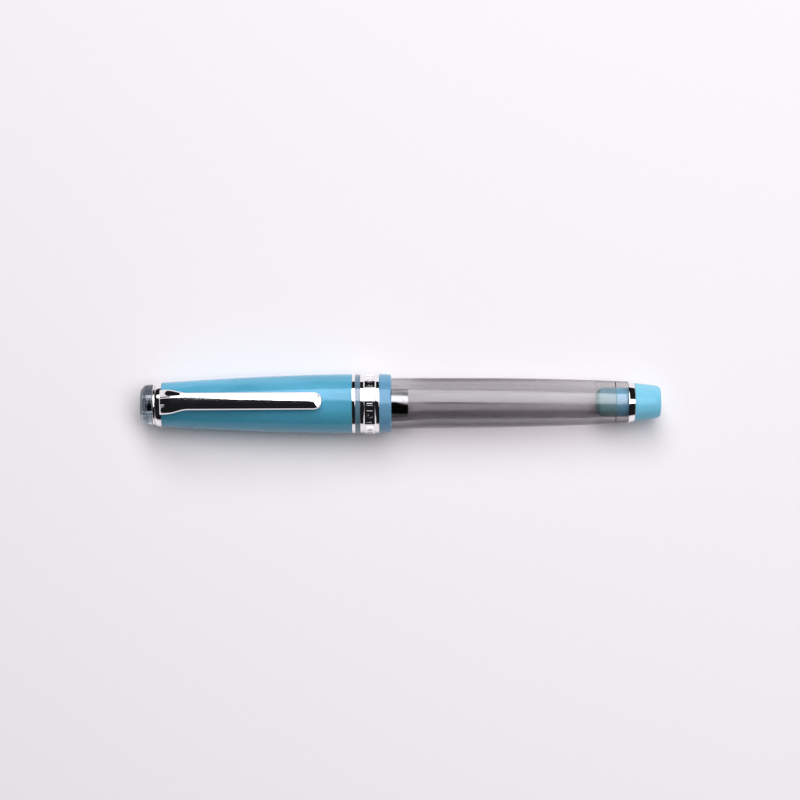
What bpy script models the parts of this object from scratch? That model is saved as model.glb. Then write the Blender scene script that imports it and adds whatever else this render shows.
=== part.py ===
"""A capped fountain pen with a clear barrel, made of separate turned and formed pieces on one axis.

Metres, +Z up. +X runs along the pen from the crown of the cap to the tail, and the clip is on top.
The origin lies under the middle of the pen, on the surface that the cap band rests on.
In this file a station is a distance in millimetres from the end of the crown, and a radius is in
millimetres from the pen's axis. Male threads are modelled as rings, and female threads as plain bores
that clear them.
"""

import math

import bmesh
import bpy

MM = 0.001
LENGTH = 124.0
SEGMENTS = 28
GAP = 0.05

# Widest radius of the pen: the raised middle of the cap band, which it rests on.
BAND_RADIUS = 7.24

# Stations where each piece on the outside starts and ends.
CROWN = (0.0, 2.85)
WASHER = (2.90, 3.45)
CLIP_RING = (3.50, 5.00)
CAP_TUBE = (5.05, 50.35)
FRONT_RING = (50.40, 51.15)
STRIPE = (51.20, 52.30)
BAND = (52.35, 56.85)
LIP = (56.90, 59.75)
BARREL = (51.50, 116.15)
TAIL_RING = (116.20, 117.75)
TAIL_CAP = (117.80, LENGTH)

# Cap: outer curve, stepped bore, and the hollow of the liner inside it.
CAP_CROWN_RADIUS = 5.27
CAP_MOUTH_RADIUS = 7.06
CAP_CURVE = 1.7
CAP_END_WALL = 8.65
CAP_BORES = ((20.0, 4.85), (37.0, 5.35), (46.4, 5.95))
SLEEVE_START = 46.50
SLEEVE_RADIUS = 6.50
MOUTH_BORE = 6.10
RING_BORE = 6.56
STUD_RADIUS = 1.50
STUD_HOLE = 1.60
LINER = (8.90, 36.50)
LINER_END_WALL = 10.20
LINER_RADII = (4.75, 5.25)
LINER_BORES = (4.00, 4.60)

# Barrel: outer curve, thread for the cap, and the bore for the ink supply.
BARREL_RADIUS = 6.04
BARREL_TAIL_DROP = 1.08
BARREL_CURVE_START = 62.0
BARREL_NECK_RADIUS = 5.35
BARREL_SHOULDER = 58.30
CAP_THREAD = (52.40, 57.40)
CAP_THREAD_CREST = 5.80
CAP_THREAD_PITCH = 1.60
BARREL_THREAD_BORE = 4.35
BARREL_BORE = 3.80
BORE_STEP = (65.30, 66.50)
BORE_END = 108.40
TENON_RADIUS = 3.55
TENON = (108.60, 110.60)

# Grip section, collar and writing unit.
GRIP = (32.60, 50.40)
GRIP_BORE = 3.36
NOSE_RING = (31.40, 32.55)
COLLAR = (44.50, 63.80)
COLLAR_RADIUS = 3.39
COLLAR_BORE = 3.05
COLLAR_THREAD = (51.60, 57.60)
COLLAR_THREAD_ROOT = 3.90
COLLAR_THREAD_CREST = 4.20
COLLAR_THREAD_PITCH = 0.90
SEAL = (50.50, 51.40)
SEAL_RADII = (4.28, 4.90)
HOUSING = (30.40, 44.40)
HOUSING_RADIUS = 3.30
HOUSING_BORE = 2.82
NIPPLE_END = 57.00
NIPPLE_RADIUS = 1.30
FEED = (19.00, 41.60)
FEED_RADIUS = 2.36
FIN_PITCH = 0.90
NIB = (16.60, 40.00)
NIB_RADIUS = 2.75
NIB_THICKNESS = 0.30
NIB_SHOULDER = 27.50
NIB_TIP_DROP = 1.05
PELLET_RADIUS = 0.42

# Clip: a bar that rises from the clip ring and presses on the cap through a bump under its end.
CLIP = (4.86, 43.45)
CLIP_ROOT_WIDTH = 5.90
CLIP_BAR_WIDTH = 4.12
CLIP_HEEL = 8.00
CLIP_ROOT_BOTTOM = 5.45
CLIP_WAIST = (6.50, 11.60)
CLIP_TOP = 9.50
CLIP_ROOT_TOP = 8.05
CLIP_RISE = 2.60
CLIP_THICKNESS = 1.15
CLIP_BUMP = 41.10
CLIP_BUMP_REACH = 1.90
CLIP_AIR = 0.10
CLIP_HINGE = (5.40, 6.00)

# Colour, roughness and metallic value of each material.
FINISHES = {
    "aqua_resin": ((0.12, 0.42, 0.58), 0.18, 0.0),
    "clear_resin": ((0.85, 0.85, 0.87), 0.05, 0.0),
    "sky_resin": ((0.25, 0.62, 0.82), 0.25, 0.0),
    "chrome": ((0.85, 0.85, 0.86), 0.08, 1.0),
    "nib_steel": ((0.80, 0.79, 0.76), 0.22, 1.0),
    "tip_alloy": ((0.60, 0.60, 0.62), 0.35, 1.0),
    "black_plastic": ((0.02, 0.02, 0.02), 0.45, 0.0),
    "liner_plastic": ((0.75, 0.77, 0.78), 0.40, 0.0),
    "seal_rubber": ((0.03, 0.03, 0.03), 0.70, 0.0),
}


def clear_scene():
    for thing in list(bpy.data.objects):
        bpy.data.objects.remove(thing, do_unlink=True)


def finish(name):
    """The Principled material of this name, made on first use."""
    made = bpy.data.materials.get(name)
    if made:
        return made
    colour, roughness, metallic = FINISHES[name]
    made = bpy.data.materials.new(name)
    made.use_nodes = True
    shader = made.node_tree.nodes["Principled BSDF"]
    shader.inputs["Base Color"].default_value = (*colour, 1.0)
    shader.inputs["Roughness"].default_value = roughness
    shader.inputs["Metallic"].default_value = metallic
    return made


def along(station):
    """World X in metres of a station."""
    return (station - LENGTH / 2) * MM


def pen_axis():
    """The empty on the pen's axis that every piece is parented to."""
    empty = bpy.data.objects.new("pen_axis", None)
    empty.location = (0.0, 0.0, BAND_RADIUS * MM)
    bpy.context.collection.objects.link(empty)
    return empty


def add_piece(name, bm, material, axis, origin=(0.0, 0.0, 0.0)):
    """Make an object from the bmesh, whose points are in metres from the pen's axis."""
    bmesh.ops.translate(bm, vec=[-value for value in origin], verts=bm.verts)
    bmesh.ops.recalc_face_normals(bm, faces=bm.faces)
    mesh = bpy.data.meshes.new(name)
    bm.to_mesh(mesh)
    bm.free()
    mesh.shade_smooth()
    mesh.set_sharp_from_angle(angle=math.radians(35))
    mesh.materials.append(finish(material))
    piece = bpy.data.objects.new(name, mesh)
    piece.parent = axis
    piece.location = origin
    bpy.context.collection.objects.link(piece)
    return piece


def turned_mesh(outline):
    """Spin a closed outline of (station, radius) points about the pen's axis.

    A stretch of the outline that lies on the axis is left out, because it would spin into nothing.
    """
    bm = bmesh.new()
    points = [bm.verts.new((along(station), 0.0, radius * MM)) for station, radius in outline]
    pairs = zip(points, points[1:] + points[:1])
    edges = [bm.edges.new(pair) for pair in pairs if pair[0].co.z or pair[1].co.z]
    bmesh.ops.spin(bm, geom=points + edges, cent=(0, 0, 0), axis=(1, 0, 0), dvec=(0, 0, 0),
                   angle=2 * math.pi, steps=SEGMENTS, use_merge=True, use_duplicate=False)
    bmesh.ops.remove_doubles(bm, verts=bm.verts, dist=1e-7)
    return bm


def turned(name, outline, material, axis):
    return add_piece(name, turned_mesh(outline), material, axis)


def steps_between(low, high, count):
    """count + 1 even values from low to high."""
    return [low + (high - low) * index / count for index in range(count + 1)]


def corner(station, radius, size, start, end, count=3):
    """Points of a round corner about (station, radius), with angles in degrees from +X."""
    angles = [math.radians(angle) for angle in steps_between(start, end, count)]
    return [(station + size * math.cos(angle), radius + size * math.sin(angle)) for angle in angles]


def thread_rings(low, high, root, crest, pitch):
    """A male thread as rings: the outline from low to high, rising to crest once in each pitch."""
    outline = []
    for turn in range(int((high - low) / pitch)):
        start = low + turn * pitch
        outline += [(start, root), (start + 0.35 * pitch, crest), (start + 0.55 * pitch, crest),
                    (start + 0.9 * pitch, root)]
    return outline


def cap_radius(station):
    """Outer radius of the cap tube, a gentle convex curve from the clip ring to the front ring."""
    share = (station - CAP_TUBE[0]) / (CAP_TUBE[1] - CAP_TUBE[0])
    return CAP_CROWN_RADIUS + (CAP_MOUTH_RADIUS - CAP_CROWN_RADIUS) * (1 - (1 - share) ** CAP_CURVE)


def barrel_radius(station):
    """Outer radius of the barrel behind its shoulder, drawing in towards the tail."""
    share = max(0.0, (station - BARREL_CURVE_START) / (BARREL[1] - BARREL_CURVE_START))
    return BARREL_RADIUS - BARREL_TAIL_DROP * share**2.5


def make_crown_end(axis):
    """Crown, stud, washer and clip ring."""
    start, end = CROWN
    stud_start = 1.40
    crown = [(start, 0.0), (start, 3.70), (0.30, 4.25), (0.95, 4.60), (1.60, 4.78), (end, 4.82),
             (end, STUD_HOLE), (stud_start - GAP, STUD_HOLE), (stud_start - GAP, 0.0)]
    turned("cap_crown", crown, "clear_resin", axis)
    stud_end = CAP_END_WALL - 0.25
    stud = [(stud_start, 0.0), (stud_start, STUD_RADIUS), (stud_end, STUD_RADIUS), (stud_end, 0.0)]
    turned("crown_stud", stud, "black_plastic", axis)
    start, end = WASHER
    washer = [(start, STUD_HOLE), (start, 4.75), (start + 0.15, 4.95), (end - 0.15, 4.95), (end, 4.80),
              (end, STUD_HOLE)]
    turned("crown_washer", washer, "chrome", axis)
    start, end = CLIP_RING
    ring = [(start, STUD_HOLE), (start, 4.85), (start + 0.20, 5.05), (start + 0.60, 5.22), (end, 5.29),
            (end, STUD_HOLE)]
    turned("clip_ring", ring, "chrome", axis)


def make_cap_tube(axis):
    start, end = CAP_TUBE
    outer = [(station, cap_radius(station)) for station in steps_between(start, end, 10)]
    bore = [(end, SLEEVE_RADIUS + GAP), (CAP_BORES[-1][0], SLEEVE_RADIUS + GAP)]
    ends = [CAP_END_WALL] + [station for station, _ in CAP_BORES]
    for low, (high, radius) in zip(reversed(ends[:-1]), reversed(CAP_BORES)):
        bore += [(high, radius), (low, radius)]
    bore += [(CAP_END_WALL, STUD_HOLE), (start, STUD_HOLE)]
    turned("cap_tube", outer + bore, "aqua_resin", axis)


def make_inner_cap(axis):
    """The liner that closes over the nib."""
    start, end = LINER
    outer_step = CAP_BORES[0][0] + 0.10
    bore_step = 30.0
    outline = [(start, 0.0), (start, LINER_RADII[0]), (outer_step, LINER_RADII[0]),
               (outer_step, LINER_RADII[1]), (end - 0.3, LINER_RADII[1]), (end, LINER_RADII[1] - 0.2),
               (end, LINER_BORES[1]), (bore_step, LINER_BORES[1]), (bore_step - 0.6, LINER_BORES[0]),
               (LINER_END_WALL + 1.0, LINER_BORES[0]), (LINER_END_WALL, LINER_BORES[0] - 1.0),
               (LINER_END_WALL, 0.0)]
    turned("inner_cap", outline, "liner_plastic", axis)


def make_cap_bands(axis):
    """Front ring, coloured stripe, wide band and threaded lip at the mouth of the cap."""
    start, end = FRONT_RING
    ring = [(start, RING_BORE), (start, 7.04), (start + 0.15, 7.12), (end - 0.15, 7.12), (end, 7.04),
            (end, RING_BORE)]
    turned("cap_front_ring", ring, "chrome", axis)
    start, end = STRIPE
    turned("cap_stripe", [(start, RING_BORE), (start, 6.98), (end, 6.98), (end, RING_BORE)],
           "aqua_resin", axis)
    start, end = BAND
    flank, groove = 7.04, 6.94
    band = [(start, RING_BORE), (start, flank), (53.20, flank), (53.25, groove), (53.40, groove),
            (53.45, BAND_RADIUS), (55.80, BAND_RADIUS), (55.85, groove), (56.00, groove),
            (56.05, flank), (end, flank), (end, RING_BORE)]
    turned("cap_band", band, "chrome", axis)
    start, end = LIP
    edge = 0.75
    lip = [(SLEEVE_START, MOUTH_BORE), (SLEEVE_START, SLEEVE_RADIUS), (start, SLEEVE_RADIUS),
           (start, 7.09), (58.30, 7.00)]
    lip += corner(end - edge, 6.25, edge, 80, 0)
    lip += [(end, MOUTH_BORE + 0.05), (end - 0.15, MOUTH_BORE)]
    turned("cap_lip", lip, "aqua_resin", axis)


def make_barrel(axis):
    """A clear tube: the thread's bore in front, then the ink bore, then the socket that the tail closes."""
    start, end = BARREL
    neck = [(start, BARREL_NECK_RADIUS - 0.3), (start + 0.3, BARREL_NECK_RADIUS)]
    neck += thread_rings(*CAP_THREAD, BARREL_NECK_RADIUS, CAP_THREAD_CREST, CAP_THREAD_PITCH)
    neck += [(BARREL_SHOULDER - 0.5, BARREL_NECK_RADIUS), (BARREL_SHOULDER, BARREL_RADIUS - 0.1)]
    outer = [(BARREL_SHOULDER + 0.15, BARREL_RADIUS)]
    outer += [(station, barrel_radius(station)) for station in steps_between(BARREL_CURVE_START, end, 9)]
    bore = [(end, TENON_RADIUS + GAP), (BORE_END, TENON_RADIUS + GAP), (BORE_END, BARREL_BORE),
            (BORE_STEP[1], BARREL_BORE), (BORE_STEP[0], BARREL_THREAD_BORE), (start, BARREL_THREAD_BORE)]
    turned("barrel", neck + outer + bore, "clear_resin", axis)


def make_tail(axis):
    start, end = TAIL_RING
    ring = [(start, TENON_RADIUS + GAP), (start, 4.93), (end, 4.64), (end, TENON_RADIUS + GAP)]
    turned("tail_ring", ring, "chrome", axis)
    start, end = TAIL_CAP
    fillet = 1.1
    nose, shoulder = TENON
    tail = [(nose, 0.0), (nose, 1.60), (nose + 0.25, 2.45), (nose + 0.90, 3.15), (shoulder, TENON_RADIUS)]
    tail += [(start, TENON_RADIUS), (start, 4.58), (120.30, 4.28), (end - fillet - 0.3, 4.00)]
    tail += corner(end - fillet, 2.85, fillet, 75, 0, 4)
    tail += [(end, 0.0)]
    turned("tail_cap", tail, "sky_resin", axis)


def make_section(axis):
    """Grip, nose ring, threaded collar and the seal in front of the barrel."""
    start, end = GRIP
    spigot_start = COLLAR[0] - 0.10
    grip = [(start, GRIP_BORE), (start, 3.95), (start + 0.4, 4.22), (37.0, 4.18), (41.0, 4.28),
            (45.0, 4.60), (48.0, 4.95), (49.6, 5.10), (end, 5.10), (end, 3.70), (spigot_start, 3.70),
            (spigot_start, GRIP_BORE)]
    turned("section_grip", grip, "aqua_resin", axis)
    start, end = NOSE_RING
    nose = [(start, GRIP_BORE), (start, 3.75), (start + 0.35, 4.05), (end, 4.15), (end, GRIP_BORE)]
    turned("section_nose_ring", nose, "chrome", axis)
    start, end = COLLAR
    collar = [(start, COLLAR_BORE), (start, 3.65), (GRIP[1] + GAP, 3.65),
              (GRIP[1] + GAP, COLLAR_THREAD_ROOT)]
    collar += thread_rings(*COLLAR_THREAD, COLLAR_THREAD_ROOT, COLLAR_THREAD_CREST, COLLAR_THREAD_PITCH)
    collar += [(58.0, COLLAR_THREAD_ROOT), (58.4, COLLAR_RADIUS), (end - 0.1, COLLAR_RADIUS),
               (end, COLLAR_RADIUS - 0.1), (end, COLLAR_BORE)]
    turned("section_collar", collar, "chrome", axis)
    start, end = SEAL
    inner, outer = SEAL_RADII
    seal = [(start, inner), (start, outer - 0.2), (start + 0.2, outer), (end - 0.2, outer),
            (end, outer - 0.2), (end, inner)]
    turned("barrel_seal", seal, "seal_rubber", axis)


def make_nib_housing(axis):
    """The sleeve that holds nib and feed, with the nipple for the ink supply at its back."""
    start, end = HOUSING
    back_wall = end - 1.6
    bore_of_nipple = 0.70
    outline = [(start, HOUSING_BORE), (start, HOUSING_RADIUS - 0.15), (start + 0.2, HOUSING_RADIUS),
               (end, HOUSING_RADIUS), (end, 2.60), (47.5, 2.60), (48.5, NIPPLE_RADIUS),
               (NIPPLE_END - 0.8, NIPPLE_RADIUS), (NIPPLE_END, 1.0), (NIPPLE_END, bore_of_nipple),
               (back_wall, bore_of_nipple), (back_wall, HOUSING_BORE)]
    turned("nib_housing", outline, "black_plastic", axis)


def make_feed(axis):
    """The finned ink feed: turned, then cut flat above so that the nib's arch covers it."""
    start, end = FEED
    fins_start, fins_end = 23.0, 30.0
    outline = [(start, 0.0), (start, 0.45), (fins_start - 0.4, 1.75)]
    for fin in range(int((fins_end - fins_start) / FIN_PITCH)):
        station = fins_start + fin * FIN_PITCH
        height = min(FEED_RADIUS, 1.90 + 0.12 * fin)
        outline += [(station, 1.50), (station + 0.02, height), (station + 0.45, height),
                    (station + 0.47, 1.50)]
    outline += [(fins_end, FEED_RADIUS), (end, FEED_RADIUS), (end, 0.0)]
    bm = turned_mesh(outline)
    slope = math.radians(7.0)
    cut = bmesh.ops.bisect_plane(bm, geom=bm.verts[:] + bm.edges[:] + bm.faces[:],
                                 plane_co=(along(fins_end), 0.0, 1.50 * MM),
                                 plane_no=(-math.sin(slope), 0.0, math.cos(slope)), clear_outer=True)
    rim = [item for item in cut["geom_cut"] if isinstance(item, bmesh.types.BMEdge)]
    bmesh.ops.contextual_create(bm, geom=rim)
    return bm


def nib_half_width(station):
    """Half the nib's width in plan: a point that swells to the shoulder, then a parallel body."""
    share = min(1.0, (station - NIB[0]) / (NIB_SHOULDER - NIB[0]))
    body = NIB_RADIUS * math.sin(math.radians(72))
    return 0.32 + (body - 0.32) * math.sin(share * math.pi / 2) ** 1.6


def make_nib(axis):
    """A bent sheet: arcs across the pen at each station, thick by NIB_THICKNESS."""
    bm = bmesh.new()
    across = 8
    loops = []
    for station in [*steps_between(NIB[0], NIB_SHOULDER, 7), 31.0, NIB[1]]:
        rise = max(0.0, 1 - (station - NIB[0]) / (30.5 - NIB[0]))
        crest = NIB_RADIUS - NIB_TIP_DROP * rise**1.5
        half = math.asin(nib_half_width(station) / NIB_RADIUS)
        loop = []
        for radius, way in ((NIB_RADIUS, 1), (NIB_RADIUS - NIB_THICKNESS, -1)):
            for angle in steps_between(-half * way, half * way, across):
                loop.append(bm.verts.new((along(station), radius * math.sin(angle) * MM,
                                          (crest - NIB_RADIUS + radius * math.cos(angle)) * MM)))
        loops.append(loop)
    for near, far in zip(loops, loops[1:]):
        for index in range(len(near)):
            after = (index + 1) % len(near)
            bm.faces.new((near[index], near[after], far[after], far[index]))
    for loop in (loops[0], loops[-1]):
        for index in range(across):
            bm.faces.new((loop[index], loop[index + 1], loop[-index - 2], loop[-index - 1]))
    add_piece("nib", bm, "nib_steel", axis)
    bm = bmesh.new()
    bmesh.ops.create_uvsphere(bm, u_segments=12, v_segments=8, radius=PELLET_RADIUS * MM)
    height = NIB_RADIUS - NIB_TIP_DROP - NIB_THICKNESS / 2
    tip = (along(NIB[0] - PELLET_RADIUS - GAP), 0.0, height * MM)
    bmesh.ops.translate(bm, vec=tip, verts=bm.verts)
    add_piece("nib_tip", bm, "tip_alloy", axis)


def clip_half_width(station):
    """Half the clip's width: the root, an S-curve in to the bar, and a half-round end."""
    low, high = CLIP_WAIST
    share = min(1.0, max(0.0, (station - low) / (high - low)))
    ease = share * share * (3 - 2 * share)
    half = (CLIP_ROOT_WIDTH + (CLIP_BAR_WIDTH - CLIP_ROOT_WIDTH) * ease) / 2
    past = station - (CLIP[1] - CLIP_BAR_WIDTH / 2)
    if past > 0:
        half = math.sqrt(max(0.0, (CLIP_BAR_WIDTH / 2) ** 2 - past**2))
    return max(half, 0.25)


def clip_top(station):
    """Height of the clip's top above the axis: a sloping root that flattens into the bar."""
    share = min(1.0, (station - CLIP[0]) / CLIP_RISE)
    return CLIP_TOP - (CLIP_TOP - CLIP_ROOT_TOP) * (1 - share) ** 1.5


def make_clip(axis):
    """Sections across the pen, each crowned on top, with a bump below near the free end."""
    bm = bmesh.new()
    stations = [CLIP[0], 5.6, 6.5, 7.4, 8.6, 10.2, 11.6, 20.0, 30.0, 38.8, 40.0, CLIP_BUMP, 41.8, 42.5,
                43.0, 43.3, CLIP[1]]
    loops = []
    for station in stations:
        half = clip_half_width(station)
        top = clip_top(station)
        bottom = top - CLIP_THICKNESS
        if station < CLIP_HEEL:
            thinning = (station - CLIP[0]) / (CLIP_HEEL - CLIP[0])
            bottom = CLIP_ROOT_BOTTOM + (bottom - CLIP_ROOT_BOTTOM) * thinning
        bump = max(0.0, 1 - ((station - CLIP_BUMP) / CLIP_BUMP_REACH) ** 2)
        reach = (bottom - cap_radius(CLIP_BUMP) - CLIP_AIR) * bump
        section = [(-half, top - 0.35), (-half * 0.8, top - 0.08), (0.0, top), (half * 0.8, top - 0.08),
                   (half, top - 0.35), (half, bottom), (half * 0.45, bottom - reach * 0.9),
                   (0.0, bottom - reach), (-half * 0.45, bottom - reach * 0.9), (-half, bottom)]
        loops.append([bm.verts.new((along(station), y * MM, z * MM)) for y, z in section])
    for near, far in zip(loops, loops[1:]):
        for index in range(len(near)):
            after = (index + 1) % len(near)
            bm.faces.new((near[index], near[after], far[after], far[index]))
    bm.faces.new(loops[0])
    bm.faces.new(loops[-1])
    hinge = (along(CLIP_HINGE[0]), 0.0, CLIP_HINGE[1] * MM)
    add_piece("clip", bm, "chrome", axis, origin=hinge)


def main():
    clear_scene()
    axis = pen_axis()
    make_crown_end(axis)
    make_cap_tube(axis)
    make_inner_cap(axis)
    make_cap_bands(axis)
    make_clip(axis)
    make_barrel(axis)
    make_tail(axis)
    make_section(axis)
    make_nib_housing(axis)
    add_piece("feed", make_feed(axis), "black_plastic", axis)
    make_nib(axis)


main()
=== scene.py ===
"""Looks of the capped fountain pen: fine turned surfaces, formed clip and nib, and their materials.

Stations are millimetres from the end of the crown, and radii are millimetres from the pen's axis, as a
turner would give them. The frame says where the crown's end and the axis are.
"""

import functools
import math

import bmesh
import bpy

from mathutils import Matrix, Vector


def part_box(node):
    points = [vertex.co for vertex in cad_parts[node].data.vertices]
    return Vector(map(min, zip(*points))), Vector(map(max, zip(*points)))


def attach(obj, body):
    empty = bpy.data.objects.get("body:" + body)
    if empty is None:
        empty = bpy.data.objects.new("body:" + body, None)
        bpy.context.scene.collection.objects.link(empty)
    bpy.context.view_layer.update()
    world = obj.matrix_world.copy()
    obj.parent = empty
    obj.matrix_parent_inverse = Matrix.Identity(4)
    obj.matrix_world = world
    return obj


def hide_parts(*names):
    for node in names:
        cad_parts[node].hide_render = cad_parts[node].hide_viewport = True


MM = 0.001
PEN_RADIUS = 7
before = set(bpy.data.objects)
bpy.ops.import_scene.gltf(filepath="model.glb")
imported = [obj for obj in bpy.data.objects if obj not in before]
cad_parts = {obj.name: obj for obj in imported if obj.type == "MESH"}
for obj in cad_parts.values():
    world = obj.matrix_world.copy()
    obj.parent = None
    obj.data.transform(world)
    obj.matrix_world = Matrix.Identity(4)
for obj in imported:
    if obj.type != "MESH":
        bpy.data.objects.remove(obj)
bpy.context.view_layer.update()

CROWN_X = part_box("cap_crown")[0].x
AXIS_Z = (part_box("cap_band")[0].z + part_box("cap_band")[1].z) / 2
SEGMENTS = 144
FINE_SEGMENTS = 1152
INNER_SEGMENTS = 96
SHARP_ANGLE = math.radians(30)
TURN = 2 * math.pi


@functools.cache
def span(node):
    """First and last station of a CAD node."""
    low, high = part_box(node)
    return (low.x - CROWN_X) / MM, (high.x - CROWN_X) / MM


# ---------------------------------------------------------------- materials

# Where a resin's three shades lie on its ramp, from the -Y side to the +Y side: painted shade, the resin's
# own colour, painted light.
PEARL_PAINTED_LIGHT_STOPS = (0.34, 0.52, 0.78)
SMOKE_PAINTED_LIGHT_STOPS = (0.14, 0.50, 0.68)


def new_material(name, colour, roughness, metallic=0.0):
    """A Principled material and the two things that its details need: its tree and its shader."""
    material = bpy.data.materials.new(name)
    material.use_nodes = True
    tree = material.node_tree
    shader = tree.nodes["Principled BSDF"]
    shader.inputs["Base Color"].default_value = (*colour, 1.0)
    shader.inputs["Roughness"].default_value = roughness
    shader.inputs["Metallic"].default_value = metallic
    return material, tree, shader


def noise(tree, scale, detail=2.0, stretch=(1.0, 1.0, 1.0)):
    """A noise over the piece's own space; scale is in features per metre, stretch squeezes an axis."""
    place = tree.nodes.new("ShaderNodeTexCoord")
    mapping = tree.nodes.new("ShaderNodeMapping")
    mapping.inputs["Scale"].default_value = stretch
    texture = tree.nodes.new("ShaderNodeTexNoise")
    texture.inputs["Scale"].default_value = scale
    texture.inputs["Detail"].default_value = detail
    tree.links.new(place.outputs["Object"], mapping.inputs["Vector"])
    tree.links.new(mapping.outputs["Vector"], texture.inputs["Vector"])
    return texture.outputs["Fac"]


def ramp(tree, value, stops):
    """A colour ramp of (position, colour) stops driven by value."""
    node = tree.nodes.new("ShaderNodeValToRGB")
    elements = node.color_ramp.elements
    while len(elements) < len(stops):
        elements.new(0.5)
    for element, (position, colour) in zip(elements, stops):
        element.position = position
        element.color = (*colour, 1.0)
    tree.links.new(value, node.inputs["Fac"])
    return node.outputs["Color"]


def remap(tree, value, low, high):
    """value from 0..1 to low..high."""
    node = tree.nodes.new("ShaderNodeMapRange")
    node.inputs["To Min"].default_value = low
    node.inputs["To Max"].default_value = high
    tree.links.new(value, node.inputs["Value"])
    return node.outputs["Result"]


def paint_side_light_and_shade(tree, value, painted_side_lean):
    """value, raised by lean at the pen's +Y side and lowered by as much at its -Y side: painted light on the
    +Y side and painted shade on the -Y side.
    """
    place = tree.nodes.new("ShaderNodeTexCoord")
    split = tree.nodes.new("ShaderNodeSeparateXYZ")
    tilt = tree.nodes.new("ShaderNodeMath")
    tilt.operation = "MULTIPLY_ADD"
    tilt.inputs[1].default_value = painted_side_lean / (PEN_RADIUS * MM)
    tree.links.new(place.outputs["Object"], split.inputs["Vector"])
    tree.links.new(split.outputs["Y"], tilt.inputs[0])
    tree.links.new(value, tilt.inputs[2])
    return tilt.outputs["Value"]


def bump(tree, shader, height, strength, distance):
    """Give the shader's surface a fine relief of height."""
    node = tree.nodes.new("ShaderNodeBump")
    node.inputs["Strength"].default_value = strength
    node.inputs["Distance"].default_value = distance
    tree.links.new(height, node.inputs["Height"])
    tree.links.new(node.outputs["Normal"], shader.inputs["Normal"])


def chrome_material():
    """Bright plating: a near-mirror with faint clouding and hairlines from wiping."""
    material, tree, shader = new_material("chrome_plating", (0.93, 0.93, 0.94), 0.04, 1.0)
    cloud = noise(tree, 260.0, 3.0)
    tree.links.new(remap(tree, cloud, 0.02, 0.07), shader.inputs["Roughness"])
    hairlines = noise(tree, 900.0, 2.0, stretch=(0.05, 1.0, 1.0))
    bump(tree, shader, hairlines, 0.004, 0.00001)
    return material


def pearl_resin(name, shades, roughness, specular=0.60, glint=(0.52, 0.72, 1.0), painted_side_lean=0.30):
    """Tinted resin with fine pearl flake, which lets a little light bleed through.

    Its shade runs through shades, from the piece's -Y side to its +Y side, in cloudy streaks: painted shade
    on the -Y side and painted light on the +Y side.
    """
    material, tree, shader = new_material(name, shades[1], roughness)
    cloud = noise(tree, 110.0, 3.0, stretch=(0.3, 1.0, 1.0))
    # Cloudy streaks, with painted light on the +Y side and painted shade on the -Y side.
    streaks_and_painted_side_light = ramp(tree, paint_side_light_and_shade(tree, cloud, painted_side_lean), list(zip(PEARL_PAINTED_LIGHT_STOPS, shades)))
    flakes = ramp(tree, noise(tree, 5200.0, 1.0), [(0.45, (0.92, 0.92, 0.92)), (0.75, (1.1, 1.1, 1.1))])
    tint = tree.nodes.new("ShaderNodeMix")
    tint.data_type = "RGBA"
    tint.blend_type = "MULTIPLY"
    tint.inputs["Factor"].default_value = 1.0
    tree.links.new(streaks_and_painted_side_light, tint.inputs["A"])
    tree.links.new(flakes, tint.inputs["B"])
    tree.links.new(tint.outputs["Result"], shader.inputs["Base Color"])
    shader.inputs["IOR"].default_value = 1.50
    shader.inputs["Specular IOR Level"].default_value = specular
    shader.inputs["Specular Tint"].default_value = (*glint, 1.0)
    shader.inputs["Subsurface Weight"].default_value = 0.35
    shader.inputs["Subsurface Radius"].default_value = (0.3, 0.8, 1.0)
    shader.inputs["Subsurface Scale"].default_value = 0.0012
    wear = noise(tree, 420.0, 4.0)
    tree.links.new(remap(tree, wear, roughness * 0.7, roughness * 1.5), shader.inputs["Roughness"])
    bump(tree, shader, noise(tree, 700.0, 2.0, stretch=(0.2, 1.0, 1.0)), 0.03, 0.00001)
    return material


def smoke_resin_material(name, shaded_and_lit_tints, shade, smoke=None, depth=0.0):
    """Clear cast resin with a swirl of smoke.

    tints colour its surface, from its -Y side to its +Y side, with painted shade on the -Y side and painted
    light on the +Y side. smoke colours its thickness, and depth is how strongly, per metre. Lamps shine
    through it, dimmed to shade.
    """
    material, tree, shader = new_material(name, shaded_and_lit_tints[1], 0.02)
    shader.inputs["Transmission Weight"].default_value = 1.0
    shader.inputs["IOR"].default_value = 1.47
    flow = noise(tree, 90.0, 3.0, stretch=(0.25, 1.0, 1.0))
    tree.links.new(remap(tree, flow, 0.015, 0.045), shader.inputs["Roughness"])
    # Flow noise, with painted shade on the -Y side and painted light on the +Y side.
    flow_and_painted_side_light = paint_side_light_and_shade(tree, remap(tree, flow, 0.44, 0.56), 0.45)
    tree.links.new(ramp(tree, flow_and_painted_side_light, list(zip(SMOKE_PAINTED_LIGHT_STOPS, shaded_and_lit_tints))), shader.inputs["Base Color"])
    bump(tree, shader, flow, 0.02, 0.00002)
    through = tree.nodes.new("ShaderNodeBsdfTransparent")
    through.inputs["Color"].default_value = (*shade, 1.0)
    path = tree.nodes.new("ShaderNodeLightPath")
    mix = tree.nodes.new("ShaderNodeMixShader")
    tree.links.new(path.outputs["Is Shadow Ray"], mix.inputs["Fac"])
    tree.links.new(shader.outputs["BSDF"], mix.inputs[1])
    tree.links.new(through.outputs["BSDF"], mix.inputs[2])
    tree.links.new(mix.outputs["Shader"], tree.nodes["Material Output"].inputs["Surface"])
    if smoke:
        absorber = tree.nodes.new("ShaderNodeVolumeAbsorption")
        absorber.inputs["Color"].default_value = (*smoke, 1.0)
        absorber.inputs["Density"].default_value = depth
        tree.links.new(absorber.outputs["Volume"], tree.nodes["Material Output"].inputs["Volume"])
    return material


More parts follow.
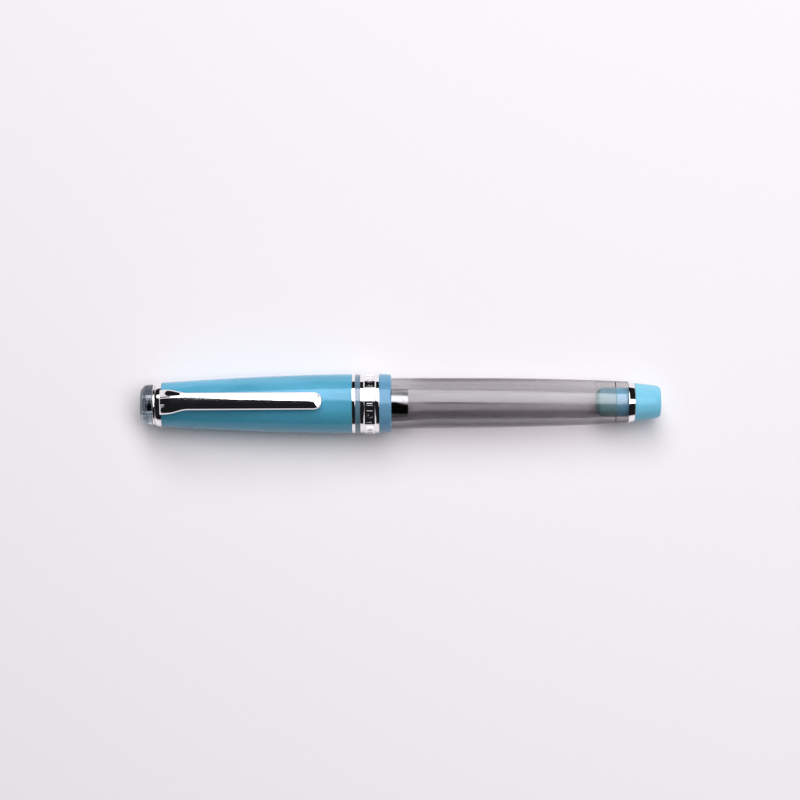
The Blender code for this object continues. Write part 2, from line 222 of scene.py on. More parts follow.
def grained(name, colour, roughness, metallic, scale, strength, stretch=(1.0, 1.0, 1.0)):
    """A plain finish with moulded or brushed grain in its roughness and relief."""
    material, tree, shader = new_material(name, colour, roughness, metallic)
    grain = noise(tree, scale, 3.0, stretch)
    tree.links.new(remap(tree, grain, roughness * 0.75, roughness * 1.3), shader.inputs["Roughness"])
    bump(tree, shader, grain, strength, 0.00002)
    return material


# Shades of each coloured resin, from its -Y side to its +Y side: the middle is the resin's own colour, and
# the two sides are painted shade and painted light, mostly painted shade on the -Y side and painted light on
# the +Y side.
AQUA = ((0.080, 0.370, 0.525), (0.100, 0.410, 0.600), (0.165, 0.540, 0.780))
MOUTH_BLUE = ((0.140, 0.340, 0.520), (0.152, 0.360, 0.560), (0.200, 0.480, 0.700))
SLATE = ((0.110, 0.215, 0.290), (0.135, 0.250, 0.350), (0.180, 0.290, 0.380))
SKY = ((0.225, 0.620, 0.830), (0.250, 0.655, 0.870), (0.290, 0.700, 0.900))
TEAL_GREY = ((0.250, 0.420, 0.440), (0.260, 0.420, 0.480), (0.270, 0.430, 0.500))
STEEL_BLUE = ((0.200, 0.440, 0.610), (0.210, 0.460, 0.640), (0.190, 0.400, 0.560))
# The barrel's tint, with strong painted shade on its -Y side.
SMOKE_AND_SIDE_SHADE = ((0.48, 0.47, 0.48), (0.84, 0.83, 0.84), (0.98, 0.98, 0.98))
CROWN_SMOKE = ((0.32, 0.38, 0.44), (0.34, 0.40, 0.46), (0.36, 0.42, 0.48))


def make_materials():
    """Every material of the pen, by name."""
    return {
        "chrome": chrome_material(),
        "aqua_resin": pearl_resin("aqua_resin", AQUA, 0.10),
        "mouth_resin": pearl_resin("mouth_resin", MOUTH_BLUE, 0.12),
        "stripe_resin": pearl_resin("stripe_resin", SLATE, 0.08, 1.0, (1.0, 0.90, 1.0)),
        "sky_resin": pearl_resin("sky_resin", SKY, 0.16, 0.22),
        "plug_resin": pearl_resin("plug_resin", TEAL_GREY, 0.30, 0.05),
        "spigot_resin": pearl_resin("spigot_resin", STEEL_BLUE, 0.30, 0.10),
        "clear_resin": smoke_resin_material("clear_resin", SMOKE_AND_SIDE_SHADE, (0.78, 0.77, 0.78),
                                            (0.42, 0.40, 0.42), 250.0),
        "crown_resin": smoke_resin_material("crown_resin", CROWN_SMOKE, (0.5, 0.5, 0.5)),
        # The collar is chrome, darkened as painted shade for the dark flanks it shows through the barrel.
        "shaded_collar_chrome": grained("shaded_collar_chrome", (0.30, 0.295, 0.31), 0.06, 1.0, 1500.0, 0.01),
        "nib_steel": grained("nib_steel", (0.82, 0.81, 0.79), 0.14, 1.0, 1500.0, 0.05, (0.08, 1.0, 1.0)),
        "tip_alloy": grained("tip_alloy", (0.62, 0.62, 0.63), 0.35, 1.0, 6000.0, 0.2),
        "black_plastic": grained("black_plastic", (0.018, 0.018, 0.019), 0.38, 0.0, 3000.0, 0.15),
        "liner_plastic": grained("liner_plastic", (0.62, 0.66, 0.68), 0.35, 0.0, 1200.0, 0.08),
        "seal_rubber": grained("seal_rubber", (0.022, 0.022, 0.024), 0.60, 0.0, 4000.0, 0.2),
    }


# ---------------------------------------------------------------- mesh tools

HOLD = 0.02  # how far outside an arc's end its holding point is, at most


def rounded(corners, steps=4):
    """An outline of (station, radius, round) corners with each corner rounded off by an arc.

    A point held just outside each end of an arc keeps the flats beside it shaded flat.
    """
    outline = []
    count = len(corners)
    for index, (station, radius, size) in enumerate(corners):
        here = Vector((station, radius))
        if size <= 0:
            outline.append(here)
            continue
        back = Vector(corners[index - 1][:2]) - here
        ahead = Vector(corners[(index + 1) % count][:2]) - here
        angle = back.angle(ahead)
        reach = min(size / math.tan(angle / 2), 0.48 * back.length, 0.48 * ahead.length)
        start, end = here + back.normalized() * reach, here + ahead.normalized() * reach
        outline.append(start + back.normalized() * min(HOLD, 0.9 * (back.length / 2 - reach)))
        for step in range(steps + 1):
            share = step / steps
            outline.append(start * (1 - share) ** 2 + here * 2 * share * (1 - share) + end * share**2)
        outline.append(end + ahead.normalized() * min(HOLD, 0.9 * (ahead.length / 2 - reach)))
    return [(point.x, point.y) for point in outline]


def add_piece(name, bm, material, body, node):
    """Turn the bmesh, in metres in the row frame, into a piece that rides on body and replaces node."""
    bmesh.ops.recalc_face_normals(bm, faces=bm.faces)
    mesh = bpy.data.meshes.new(name)
    bm.to_mesh(mesh)
    bm.free()
    mesh.shade_smooth()
    mesh.set_sharp_from_angle(angle=SHARP_ANGLE)
    mesh.materials.append(material)
    piece = bpy.data.objects.new(name, mesh)
    bpy.context.scene.collection.objects.link(piece)
    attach(piece, body)
    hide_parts(node)
    return piece


def turned_mesh(outline, shape=None, segments=SEGMENTS):
    """Revolve a closed outline of (station, radius) about the pen's axis.

    shape(station, radius, angle), if given, returns the radius there, for threads and engraving.
    """
    bm = bmesh.new()
    rows = []
    for station, radius in outline:
        x = CROWN_X + station * MM
        if radius <= 0:
            rows.append([bm.verts.new((x, 0.0, AXIS_Z))])
            continue
        row = []
        for step in range(segments):
            angle = TURN * step / segments
            r = (shape(station, radius, angle) if shape else radius) * MM
            row.append(bm.verts.new((x, r * math.sin(angle), AXIS_Z + r * math.cos(angle))))
        rows.append(row)
    for near, far in zip(rows, rows[1:] + rows[:1]):
        if len(near) == 1 and len(far) == 1:
            continue
        for step in range(segments):
            after = (step + 1) % segments
            corners = [near[step % len(near)], near[after % len(near)], far[after % len(far)],
                       far[step % len(far)]]
            bm.faces.new(list(dict.fromkeys(corners)))
    return bm


def between(low, high, count):
    return [low + (high - low) * index / count for index in range(count + 1)]


# ---------------------------------------------------------------- cap

CAP_RADII = (5.27, 7.06)
CAP_CURVE = 1.7
SLEEVE_RADIUS = 6.50
SLEEVE_BORE = 6.55
RING_BORE = 6.56
STUD_HOLE = 1.60
STUD_RADIUS = 1.50
MOUTH_BORE = 6.10
SLEEVE_START = 46.5
# How far in, from the front, each width of the cap tube's bore reaches, widest first.
CAP_BORES = ((46.4, 5.95), (37.0, 5.35), (20.0, 4.85), (8.65, STUD_HOLE))


def cap_radius(station):
    """Radius of the cap tube's curved outside."""
    start, end = span("cap_tube")
    share = min(1.0, max(0.0, (station - start) / (end - start)))
    return CAP_RADII[0] + (CAP_RADII[1] - CAP_RADII[0]) * (1 - (1 - share) ** CAP_CURVE)


def make_crown(materials):
    """The clear crown, the stud inside it, and the washer and the clip's ring under it."""
    start, end = span("cap_crown")
    outline = rounded([(start, 0, 0), (start, 3.75, 0.25), (0.85, 4.60, 0.5), (1.45, 4.80, 0.4),
                       (end, 4.82, 0.08), (end, STUD_HOLE, 0), (1.35, STUD_HOLE, 0.1), (1.35, 0, 0)])
    add_piece("crown", turned_mesh(outline), materials["crown_resin"], "cap", "cap_crown")
    low, high = span("crown_stud")
    stud = rounded([(low, 0, 0), (low, STUD_RADIUS, 0.2), (high, STUD_RADIUS, 0.2), (high, 0, 0)])
    add_piece("stud", turned_mesh(stud, segments=64), materials["black_plastic"], "cap",
              "crown_stud")
    low, high = span("crown_washer")
    washer = rounded([(low, STUD_HOLE, 0), (low, 4.92, 0.25), (high, 4.92, 0.25), (high, STUD_HOLE, 0)])
    add_piece("washer", turned_mesh(washer), materials["chrome"], "cap", "crown_washer")
    low, high = span("clip_ring")
    ring = rounded([(low, STUD_HOLE, 0), (low, 5.05, 0.3), (low + 0.6, 5.22, 0.3), (high, 5.29, 0.06),
                    (high, STUD_HOLE, 0)])
    add_piece("clip_band", turned_mesh(ring), materials["chrome"], "cap", "clip_ring")


def make_cap_tube(materials):
    """The curved tube, bored in steps from its mouth to the wall that the stud passes through."""
    start, end = span("cap_tube")
    outer = [(s, cap_radius(s)) for s in between(start, end - 0.06, 48)]
    outer += [(end, cap_radius(end) - 0.06)]
    bore = [(end, SLEEVE_BORE)]
    for station, radius in CAP_BORES:
        bore += [(station, bore[-1][1]), (station, radius)]
    bore += [(start, STUD_HOLE)]
    add_piece("cap", turned_mesh(outer + bore), materials["aqua_resin"], "cap", "cap_tube")


RING_TOP = 7.12
STRIPE_TOP = 6.98
BAND_FLANK = 7.03
BAND_BROW = 7.21
BAND_TOP = 7.24
LIP_START = 56.90
ENGRAVED_ROWS = (53.80, 55.46)
ENGRAVING_DEPTH = 0.08
MOTIFS = 30


def engraved(station, radius, angle):
    """A plain border of bars, rings and diamonds sunk into the raised middle of the wide band."""
    low, high = ENGRAVED_ROWS
    if radius < BAND_BROW or not low < station < high:
        return radius
    cell = angle / TURN * MOTIFS
    across = 2 * (cell % 1) - 1
    along = 2 * (station - low) / (high - low) - 1
    kind = int(cell) % 6
    far = abs(across) + abs(along)
    if kind == 0:
        sunk = 0.42 < far < 0.86
    elif kind in (1, 5):
        sunk = 0.20 < abs(across) < 0.42 and abs(along) < 0.85
    elif kind in (2, 4):
        sunk = abs(across) < 0.14 and abs(along) < 0.85
    else:
        sunk = 0.40 < math.hypot(across, along) < 0.72
    return radius - (ENGRAVING_DEPTH if sunk else 0.0)


def make_bands(materials):
    """The two chrome bands, the slate stripe between them, and the lip with its sleeve under them."""
    low, high = span("cap_front_ring")
    ring = rounded([(low, RING_BORE, 0), (low, RING_TOP, 0.05), (high, RING_TOP, 0.05),
                    (high, RING_BORE, 0)])
    add_piece("front_ring", turned_mesh(ring), materials["chrome"], "cap_bands", "cap_front_ring")
    low, high = span("cap_stripe")
    stripe = rounded([(low, RING_BORE, 0), (low, STRIPE_TOP, 0.05), (high, STRIPE_TOP, 0.05),
                      (high, RING_BORE, 0)])
    add_piece("stripe", turned_mesh(stripe), materials["stripe_resin"], "cap_bands",
              "cap_stripe")
    low, high = span("cap_band")
    rows = between(53.60, 55.65, 42)
    front = [(low, RING_BORE, 0), (low, BAND_FLANK, 0.05), (53.13, BAND_FLANK, 0), (53.39, BAND_BROW, 0),
             (53.41, BAND_TOP, 0)]
    back = [(55.84, BAND_TOP, 0), (55.86, BAND_BROW, 0), (56.12, BAND_FLANK, 0), (high, BAND_FLANK, 0.05),
            (high, RING_BORE, 0)]
    outline = rounded(front + [(row, BAND_TOP, 0) for row in rows] + back)
    add_piece("wide_band", turned_mesh(outline, engraved, FINE_SEGMENTS), materials["chrome"], "cap_bands",
              "cap_band")
    start, end = LIP_START, span("cap_lip")[1]
    lip = rounded([(SLEEVE_START, MOUTH_BORE, 0.05), (SLEEVE_START, SLEEVE_RADIUS, 0.05),
                   (start, SLEEVE_RADIUS, 0), (start, 7.09, 0.05), (58.1, 7.02, 0.6), (end, 6.95, 0.75),
                   (end, MOUTH_BORE, 0.12)], 8)
    add_piece("lip", turned_mesh(lip), materials["mouth_resin"], "cap", "cap_lip")


def make_liner(materials):
    """The cup that closes round the nib."""
    start, end = span("inner_cap")
    outline = rounded([(start, 0, 0), (start, 4.75, 0.4), (20.1, 4.75, 0), (20.1, 5.25, 0.15),
                       (end, 5.25, 0.2), (end, 4.60, 0.1), (30.0, 4.60, 0.2), (29.4, 4.0, 0.2),
                       (10.2, 4.0, 1.0), (10.2, 0, 0)])
    add_piece("liner", turned_mesh(outline, segments=INNER_SEGMENTS), materials["liner_plastic"], "liner",
              "inner_cap")


# ---------------------------------------------------------------- clip

CLIP_WIDTHS = (5.90, 4.12)
CLIP_WAIST = (6.50, 11.60)
CLIP_TOP = 9.50
CLIP_ROOT_TOP = 8.05
CLIP_RISE = 2.60
CLIP_THICKNESS = 1.15
CLIP_HEEL = 8.00
CLIP_BUMP = 41.10
CHAMFER = 0.30
CHAMFER_SLOPE = math.radians(55)
CLIP_LEAN = math.tan(math.radians(2.1))
CLIP_CLEARANCE = 0.02
CLIP_LEAST = 0.10  # the clip's least thickness, at its edges
CLIP_ROOT_BOTTOM = 5.45
CLIP_BUMP_REACH = 1.7
CLIP_AIR = 0.10
CROWN_OF_CLIP = 13.5
# Two fine steps down along each side of the middle, and the slope outside them: at the root, along the bar.
STEPS = ((0.82, 0.94), (1.27, 1.44))
STEP_WIDTH = 0.21
STEP_DROP = 0.175
SHOULDER_SLOPES = (math.tan(math.radians(33)), math.tan(math.radians(15)))


def clip_ease(station):
    """0 at the root, 1 along the bar."""
    low, high = CLIP_WAIST
    share = min(1.0, max(0.0, (station - low) / (high - low)))
    return share * share * (3 - 2 * share)


def clip_crest(station):
    """Height of the clip's crest above the axis."""
    share = min(1.0, (station - span("clip")[0]) / CLIP_RISE)
    return CLIP_TOP - (CLIP_TOP - CLIP_ROOT_TOP) * (1 - share) ** 1.5


def clip_section(half, ease):
    """(offset, drop) points across the clip's top, from its middle to one edge.

    The crowned middle has two fine steps down, then a shoulder slopes away to a steep chamfer.
    """
    section = [(0.0, 0.0)]
    for count, (at_root, on_bar) in enumerate(STEPS):
        step = at_root + (on_bar - at_root) * ease
        last = section[-1][0]
        inner, outer = step - STEP_WIDTH / 2, step + STEP_WIDTH / 2
        for offset, fallen in (((last + inner) / 2, count), (inner, count), (outer, count + 1)):
            section.append((offset, offset**2 / (2 * CROWN_OF_CLIP) + fallen * STEP_DROP))
    offset, drop = section[-1]
    slope = SHOULDER_SLOPES[0] + (SHOULDER_SLOPES[1] - SHOULDER_SLOPES[0]) * ease
    run = half - CHAMFER - offset
    section += [(offset + 0.5 * run, drop + 0.42 * run * slope), (offset + run, drop + run * slope)]
    drop += run * slope
    fall = CHAMFER * math.tan(CHAMFER_SLOPE)
    section += [(half - 0.92 * CHAMFER, drop + 0.04 * fall), (half - 0.10 * CHAMFER, drop + 0.84 * fall),
                (half, drop + 1.10 * fall), (half, drop + 1.30 * fall)]
    return section


def make_clip(materials):
    """A formed bar: sections across it from the root to the start of its half-round end, then a fan."""
    start, end = span("clip")
    radius = CLIP_WIDTHS[1] / 2
    centre = end - radius
    places = [(start, 0.0, 0.16), (start + 0.04, 0.0, 0.05), (start + 0.14, 0.0, 0.0)]
    stations = between(start + 0.3, 7.8, 14) + between(7.8, 12.5, 16)[1:] + between(12.5, centre, 20)[1:]
    places += [(station, 0.0, 0.0) for station in stations]
    places += [(centre, turn, 0.0) for turn in between(0, math.pi / 2, 16)[1:]]
    bm = bmesh.new()
    upper, lower = [], []
    for station, turn, fall in places:
        ease = clip_ease(station)
        half = (CLIP_WIDTHS[0] + (CLIP_WIDTHS[1] - CLIP_WIDTHS[0]) * ease) / 2
        section = clip_section(half, ease)
        top, under = [], []
        for side, points in ((-1, reversed(section[1:])), (1, section)):
            for offset, drop in points:
                x = station + offset * math.sin(turn)
                y = side * offset * math.cos(turn)
                z = clip_crest(station) - CLIP_CLEARANCE - drop - fall - y * CLIP_LEAN
                top.append(bm.verts.new((CROWN_X + x * MM, y * MM, AXIS_Z + z * MM)))
                z = min(clip_bottom(x, y), z - CLIP_LEAST)
                under.append(bm.verts.new((CROWN_X + x * MM, y * MM, AXIS_Z + z * MM)))
        upper.append(top)
        lower.append(under)
    for near, far, near_low, far_low in zip(upper, upper[1:], lower, lower[1:]):
        for i in range(len(near) - 1):
            bm.faces.new((near[i], near[i + 1], far[i + 1], far[i]))
            bm.faces.new((near_low[i], far_low[i], far_low[i + 1], near_low[i + 1]))
        bm.faces.new((near[0], far[0], far_low[0], near_low[0]))
        bm.faces.new((near[-1], near_low[-1], far_low[-1], far[-1]))
    for i in range(len(upper[0]) - 1):
        bm.faces.new((upper[0][i + 1], upper[0][i], lower[0][i], lower[0][i + 1]))
    bmesh.ops.remove_doubles(bm, verts=bm.verts, dist=1e-6)
    add_piece("clip_bar", bm, materials["chrome"], "clip", "clip")


def clip_bottom(x, y):
    """Height of the clip's underside: thick root, thin bar, and the bump under the free end."""
    bar = clip_crest(x) - CLIP_THICKNESS
    start = span("clip")[0]
    if x < CLIP_HEEL:
        bar = CLIP_ROOT_BOTTOM + (bar - CLIP_ROOT_BOTTOM) * (x - start) / (CLIP_HEEL - start)
    reach = bar - cap_radius(CLIP_BUMP) - CLIP_AIR
    out = ((x - CLIP_BUMP) ** 2 + y**2) / CLIP_BUMP_REACH**2
    return bar - reach * max(0.0, 1 - out) ** 0.5


# ---------------------------------------------------------------- barrel and tail

NECK_RADIUS = 5.35
NECK_BORE = 4.35
CAP_THREAD = (52.4, 57.4)
CAP_THREAD_PITCH = 1.6
CAP_THREAD_STARTS = 2
BARREL_RADIUS = 6.04
BARREL_BORE = 3.80
BORE_END = 108.4
TAIL_SOCKET = 3.60
TAIL_PLUG = 3.50
TAIL_JOINT = 113.20
TAIL_SEAM = 0.02


def ridge(phase):
    """Height from 0 to 1 of a thread's rounded ridge over one pitch."""
    return 0.5 - 0.5 * math.cos(TURN * phase)


def cap_thread(station, radius, angle):
    """Two-start right-hand thread on the barrel's neck."""
    low, high = CAP_THREAD
    if radius < (NECK_BORE + NECK_RADIUS) / 2 or not low <= station <= high:
        return radius
    fade = min(1.0, (station - low) / 0.5, (high - station) / 0.5)
    return radius + 0.45 * fade * ridge(station / CAP_THREAD_PITCH - CAP_THREAD_STARTS * angle / TURN) ** 1.3


def barrel_radius(station):
    """Radius of the barrel's outside behind its shoulder, which narrows to the tail."""
    share = max(0.0, (station - 62.0) / (span("barrel")[1] - 62.0))
    return BARREL_RADIUS - 1.08 * share**2.5


def make_barrel(materials):
    """A clear tube, threaded in front, with a fine groove round it where the tail's plug ends."""
    start, end = span("barrel")
    neck = rounded([(start, NECK_BORE, 0), (start, NECK_RADIUS, 0.3), (52.3, NECK_RADIUS, 0)])
    neck += [(s, NECK_RADIUS) for s in between(*CAP_THREAD, 60)]
    shoulder = rounded([(57.5, NECK_RADIUS, 0), (57.8, NECK_RADIUS, 0.3), (58.3, BARREL_RADIUS, 0.12),
                        (62.0, BARREL_RADIUS, 0)])
    outer = [(s, barrel_radius(s)) for s in between(62.5, TAIL_JOINT - 0.06, 40)]
    outer += [(TAIL_JOINT, barrel_radius(TAIL_JOINT) - 0.12)]
    outer += [(s, barrel_radius(s)) for s in between(TAIL_JOINT + 0.06, end - 0.1, 4)]
    bore = rounded([(end, barrel_radius(end) - 0.02, 0.04), (end, TAIL_SOCKET, 0),
                    (BORE_END, TAIL_SOCKET, 0.03), (BORE_END, BARREL_BORE, 0.05), (67.8, BARREL_BORE, 40.0),
                    (62.8, NECK_BORE, 40.0), (start + 1, NECK_BORE, 0)], 8)
    add_piece("clear_barrel", turned_mesh(neck + shoulder + outer + bore, cap_thread),
              materials["clear_resin"], "barrel", "barrel")


def make_tail(materials):
    """The chrome ring, and the tail's three pieces: plug, spigot through the ring, and rounded end."""
    low, high = span("tail_ring")
    ring = rounded([(low, TAIL_SOCKET, 0), (low, 4.95, 0.12), (high, 4.62, 0.12), (high, TAIL_SOCKET, 0)])
    add_piece("tail_band", turned_mesh(ring), materials["chrome"], "tail_band", "tail_ring")
    start, end = span("tail_cap")
    face = span("tail_ring")[1] + 0.05
    plug = rounded([(start, 0, 0), (start, 2.1, 0.6), (start + 0.7, 3.2, 0.8),
                    (start + 2.0, TAIL_PLUG, 1.0), (TAIL_JOINT, TAIL_PLUG, 0.05), (TAIL_JOINT, 0, 0)], 6)
    add_piece("tail_plug", turned_mesh(plug), materials["plug_resin"], "barrel", "tail_cap")
    low, high = TAIL_JOINT + TAIL_SEAM, face - TAIL_SEAM
    spigot = rounded([(low, 0, 0), (low, 3.45, 0.05), (high, 3.45, 0), (high, 0, 0)])
    add_piece("tail_spigot", turned_mesh(spigot), materials["spigot_resin"], "barrel",
              "tail_cap")
    tail = rounded([(face, 0, 0), (face, 4.56, 0.05), (120.3, 4.28, 1.0), (122.6, 3.98, 1.0),
                    (end, 3.55, 1.0), (end, 0, 0)], 6)
    add_piece("tail", turned_mesh(tail), materials["sky_resin"], "barrel", "tail_cap")


# ---------------------------------------------------------------- grip section and nib

COLLAR_RADIUS = 3.90
COLLAR_BORE = 3.05
PIPE_RADIUS = 3.39
SPIGOT_RADIUS = 3.70
GRIP_BORE = 3.36
BARREL_THREAD = (51.6, 57.6)
BARREL_THREAD_PITCH = 0.9


def collar_thread(station, radius, angle):
    """Fine right-hand thread on the collar, which holds the barrel."""
    low, high = BARREL_THREAD
    if radius < (COLLAR_BORE + COLLAR_RADIUS) / 2 or not low <= station <= high:
        return radius
    fade = min(1.0, (station - low) / 0.4, (high - station) / 0.4)
    return radius + 0.30 * fade * ridge(station / BARREL_THREAD_PITCH - angle / TURN)


def make_section(materials):
    """The grip with its nose ring, the threaded collar with the seal on it, and the nib's housing."""
    start, end = span("section_grip")
    spigot = span("section_collar")[0] - 0.1
    grip = rounded([(start, GRIP_BORE, 0), (start, 4.15, 0.25), (37.0, 4.18, 4.0), (41.0, 4.28, 4.0),
                    (45.5, 4.66, 4.0), (49.2, 5.10, 1.5), (end, 5.10, 0.15), (end, SPIGOT_RADIUS, 0),
                    (spigot, SPIGOT_RADIUS, 0), (spigot, GRIP_BORE, 0)], 8)
    add_piece("grip", turned_mesh(grip), materials["aqua_resin"], "section", "section_grip")
    low, high = span("section_nose_ring")
    nose = rounded([(low, GRIP_BORE, 0.05), (low, 4.05, 0.3), (high, 4.15, 0.06), (high, GRIP_BORE, 0)])
    add_piece("nose_ring", turned_mesh(nose), materials["chrome"], "section",
              "section_nose_ring")
    start, end = span("section_collar")
    collar = rounded([(start, COLLAR_BORE, 0), (start, 3.65, 0), (50.45, 3.65, 0),
                      (50.45, COLLAR_RADIUS, 0.05), (51.0, COLLAR_RADIUS, 0)])
    collar += [(s, COLLAR_RADIUS) for s in between(*BARREL_THREAD, 80)]
    collar += rounded([(57.8, COLLAR_RADIUS, 0), (58.0, COLLAR_RADIUS, 0.1), (58.4, PIPE_RADIUS, 0.1),
                       (end, PIPE_RADIUS, 0.12), (end, COLLAR_BORE, 0.05), (start + 1, COLLAR_BORE, 0)])
    add_piece("collar", turned_mesh(collar, collar_thread), materials["shaded_collar_chrome"], "section",
              "section_collar")
    low, high = span("barrel_seal")
    seal = rounded([(low, 4.28, 0.1), (low, 4.90, 0.3), (high, 4.90, 0.3), (high, 4.28, 0.1)])
    add_piece("seal_ring", turned_mesh(seal, segments=INNER_SEGMENTS), materials["seal_rubber"], "seal",
              "barrel_seal")
    start, end = span("nib_housing")
    housing = rounded([(start, 2.82, 0), (start, 3.30, 0.2), (44.4, 3.30, 0.1), (44.4, 2.60, 0),
                       (47.5, 2.60, 0.3), (48.5, 1.30, 0.3), (end - 0.8, 1.30, 0.1), (end, 1.0, 0.1),
                       (end, 0.70, 0), (42.8, 0.70, 0), (42.8, 2.82, 0)])
    add_piece("housing", turned_mesh(housing, segments=INNER_SEGMENTS), materials["black_plastic"], "section",
              "nib_housing")


FEED_RADIUS = 2.36
FEED_CORE = 1.45
FINS = 13
FIN_PITCH = 0.55


def make_feed(materials):
    """A rod with fins across its front, planed off on a slope under the nib."""
    start, end = span("feed")
    outline = [(start, 0.0), (start + 0.1, 0.35), (22.6, 1.75)]
    for fin in range(FINS):
        station = 23.0 + fin * FIN_PITCH
        height = min(FEED_RADIUS, 1.90 + 0.06 * fin)
        outline += [(station, FEED_CORE), (station + 0.02, height), (station + 0.26, height),
                    (station + 0.28, FEED_CORE)]
    outline += [(30.4, FEED_CORE), (30.42, FEED_RADIUS), (end, FEED_RADIUS), (end, 0.0)]
    bm = turned_mesh(outline, segments=72)
    slope = math.radians(7.0)
    cut = bmesh.ops.bisect_plane(bm, geom=bm.verts[:] + bm.edges[:] + bm.faces[:],
                                 plane_co=(CROWN_X + 30.0 * MM, 0.0, AXIS_Z + 1.5 * MM),
                                 plane_no=(-math.sin(slope), 0.0, math.cos(slope)), clear_outer=True)
    rim = [item for item in cut["geom_cut"] if isinstance(item, bmesh.types.BMEdge)]
    bmesh.ops.contextual_create(bm, geom=rim)
    add_piece("ink_feed", bm, materials["black_plastic"], "section", "feed")


NIB_RADIUS = 2.75
NIB_SHOULDER = 27.5
NIB_THICKNESS = 0.30
NIB_WRAP = math.radians(72)
NIB_POINT = 0.32
BREATHER = 25.4


def nib_half_width(station):
    """Half the nib's width: narrow at the point, full at the shoulder."""
    start = span("nib")[0]
    share = min(1.0, (station - start) / (NIB_SHOULDER - start))
    body = NIB_RADIUS * math.sin(NIB_WRAP)
    return NIB_POINT + (body - NIB_POINT) * math.sin(share * math.pi / 2) ** 1.6


def nib_crest(station):
    """Height of the nib's crest above the axis, which falls towards the point."""
    start = span("nib")[0]
    rise = max(0.0, 1 - (station - start) / (30.5 - start))
    return NIB_RADIUS - 1.05 * rise**1.5


def make_nib(materials):
    """A bent sheet with a slit and a breather hole cut through it."""
    start, end = span("nib")
    across = 24
    bm = bmesh.new()
    loops = []
    for station in between(start, NIB_SHOULDER + 1, 48) + between(NIB_SHOULDER + 1, end, 12)[1:]:
        crest = nib_crest(station)
        half = math.asin(nib_half_width(station) / NIB_RADIUS)
        loop = []
        for radius, way in ((NIB_RADIUS, 1), (NIB_RADIUS - NIB_THICKNESS, -1)):
            for angle in between(-half * way, half * way, across):
                loop.append(bm.verts.new((CROWN_X + station * MM, radius * math.sin(angle) * MM,
                                          AXIS_Z + (crest - NIB_RADIUS + radius * math.cos(angle)) * MM)))
        loops.append(loop)
    for near, far in zip(loops, loops[1:]):
        for index in range(len(near)):
            after = (index + 1) % len(near)
            bm.faces.new((near[index], near[after], far[after], far[index]))
    for loop in (loops[0], loops[-1]):
        for index in range(across):
            bm.faces.new((loop[index], loop[index + 1], loop[-index - 2], loop[-index - 1]))
    nib = add_piece("nib_blade", bm, materials["nib_steel"], "section", "nib")
    cut_nib(nib, start)
    low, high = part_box("nib_tip")
    bm = bmesh.new()
    bmesh.ops.create_uvsphere(bm, u_segments=32, v_segments=20, radius=0.5)
    size = high - low
    bmesh.ops.scale(bm, vec=(size.x * 1.3, size.y * 0.85, size.z * 0.9), verts=bm.verts)
    bmesh.ops.translate(bm, vec=(low + high) / 2, verts=bm.verts)
    add_piece("tip_ball", bm, materials["tip_alloy"], "section", "nib_tip")


def cut_nib(nib, start):
    """Cut the breather hole, then the slit from the point to the hole."""
    bm = bmesh.new()
    hole = Matrix.Translation((CROWN_X + BREATHER * MM, 0, AXIS_Z + NIB_RADIUS * MM))
    bmesh.ops.create_cone(bm, cap_ends=True, segments=40, radius1=0.55 * MM, radius2=0.55 * MM,
                          depth=2 * MM, matrix=hole)
    middle = (start + BREATHER) / 2
    slit = Matrix.Translation((CROWN_X + middle * MM, 0, AXIS_Z + 2.2 * MM))
    slit @= Matrix.Diagonal(((BREATHER - start + 1.0) * MM, 0.07 * MM, 3 * MM, 1))
    bmesh.ops.create_cube(bm, size=1.0, matrix=slit)
    mesh = bpy.data.meshes.new("nib_cutter")
    bm.to_mesh(mesh)
    bm.free()
    cutter = bpy.data.objects.new("nib_cutter", mesh)
    bpy.context.scene.collection.objects.link(cutter)
    cut = nib.modifiers.new("slit", "BOOLEAN")
    cut.operation = "DIFFERENCE"
    cut.use_self = True
    cut.object = cutter
    apply_modifiers(nib)
    bpy.data.objects.remove(cutter, do_unlink=True)


def apply_modifiers(piece):
    """Keep the piece's evaluated mesh, without its modifiers."""
    graph = bpy.context.evaluated_depsgraph_get()
    mesh = bpy.data.meshes.new_from_object(piece.evaluated_get(graph))
    piece.modifiers.clear()
    piece.data = mesh


# ---------------------------------------------------------------- stage, light and camera

CAMERA_DISTANCE = 0.735
CAMERA_ELEVATION = math.radians(85.0)
CAMERA_ROLL = math.radians(0.32)
VIEW_WIDTH = 0.19116
VIEW_CENTRE = (-0.00019, 0.00081)
LAMP_DISTANCE = 0.90
LAMP_DIRECTION = Vector((0.162, 0.349, 1.0)).normalized()
LAMP_TURN = math.radians(-61.6)
LAMP_SIZE = (1.33, 0.50)
LAMP_RADIANCE = 5.4


def make_floor():
    """A pale board with a faint fibre."""
    bm = bmesh.new()
    bmesh.ops.create_grid(bm, x_segments=1, y_segments=1, size=3.0)
    mesh = bpy.data.meshes.new("floor")
    bm.to_mesh(mesh)
    bm.free()
    floor = bpy.data.objects.new("floor", mesh)
    bpy.context.scene.collection.objects.link(floor)
    material, tree, shader = new_material("pale_board", (0.93, 0.89, 0.92), 0.9)
    shader.inputs["Specular IOR Level"].default_value = 0.1
    fibre = noise(tree, 900.0, 4.0)
    tree.links.new(ramp(tree, fibre, [(0.2, (0.925, 0.885, 0.915)), (0.8, (0.94, 0.90, 0.93))]),
                   shader.inputs["Base Color"])
    mesh.materials.append(material)


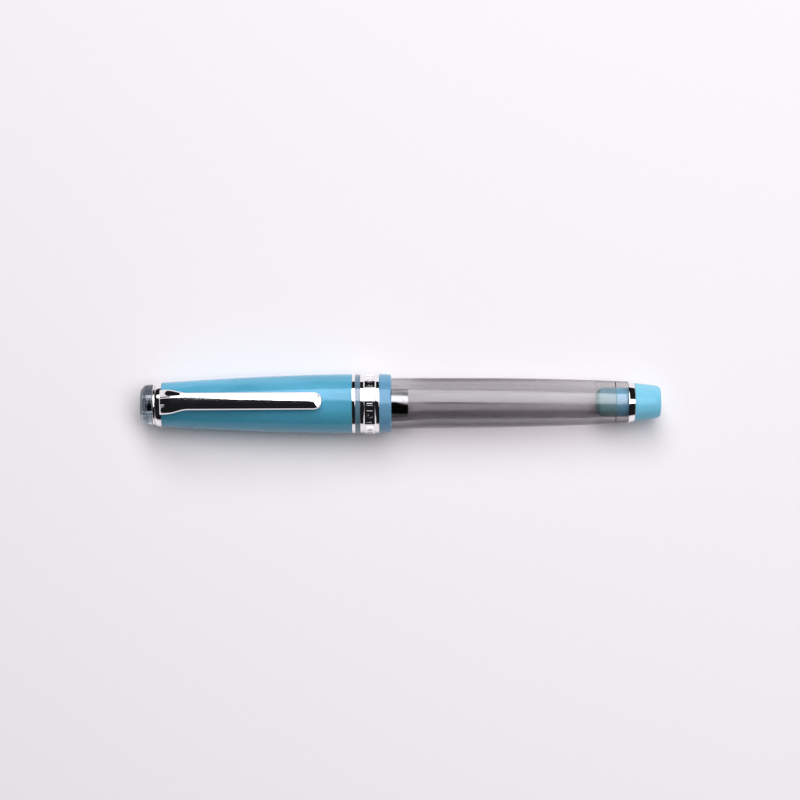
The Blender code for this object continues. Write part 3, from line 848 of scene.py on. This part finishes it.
def make_lamp():
    """One long soft box, turned so that its near edge runs down past the tail of the pen."""
    light = bpy.data.lights.new("soft_box", "AREA")
    light.shape = "RECTANGLE"
    light.size, light.size_y = LAMP_SIZE
    light.energy = LAMP_RADIANCE * math.pi * LAMP_SIZE[0] * LAMP_SIZE[1]
    lamp = bpy.data.objects.new("soft_box", light)
    across = Vector((0, 1, 0)).cross(LAMP_DIRECTION).normalized()
    facing = Matrix((across, LAMP_DIRECTION.cross(across), LAMP_DIRECTION)).transposed().to_4x4()
    lamp.matrix_world = (Matrix.Translation(LAMP_DIRECTION * LAMP_DISTANCE) @ facing
                         @ Matrix.Rotation(LAMP_TURN, 4, "Z"))
    bpy.context.scene.collection.objects.link(lamp)


def make_world():
    """A nearly dark room, which the chrome shows between the lamp and the floor."""
    world = bpy.data.worlds.new("studio")
    world.use_nodes = True
    background = world.node_tree.nodes["Background"]
    background.inputs["Color"].default_value = (0.9, 0.85, 1.0, 1.0)
    background.inputs["Strength"].default_value = 0.012
    bpy.context.scene.world = world


def make_camera():
    """Looks almost straight down at the pen, with its axis across the picture."""
    data = bpy.data.cameras.new("camera")
    data.sensor_width = 36.0
    data.lens = 18.0 / math.tan(math.atan(VIEW_WIDTH / 2 / CAMERA_DISTANCE))
    data.clip_start = 0.01
    camera = bpy.data.objects.new("camera", data)
    target = Vector((VIEW_CENTRE[0], VIEW_CENTRE[1], AXIS_Z))
    away = Vector((0, -math.cos(CAMERA_ELEVATION), math.sin(CAMERA_ELEVATION)))
    camera.matrix_world = (Matrix.Translation(target + away * CAMERA_DISTANCE)
                           @ away.to_track_quat("Z", "Y").to_matrix().to_4x4()
                           @ Matrix.Rotation(-CAMERA_ROLL, 4, "Z"))
    bpy.context.scene.collection.objects.link(camera)
    bpy.context.scene.camera = camera
    bpy.context.scene.view_settings.view_transform = "Standard"


def main():
    make_camera()
    make_world()
    make_lamp()
    make_floor()
    materials = make_materials()
    make_crown(materials)
    make_cap_tube(materials)
    make_bands(materials)
    make_liner(materials)
    make_clip(materials)
    make_barrel(materials)
    make_tail(materials)
    make_section(materials)
    make_feed(materials)
    make_nib(materials)


main()
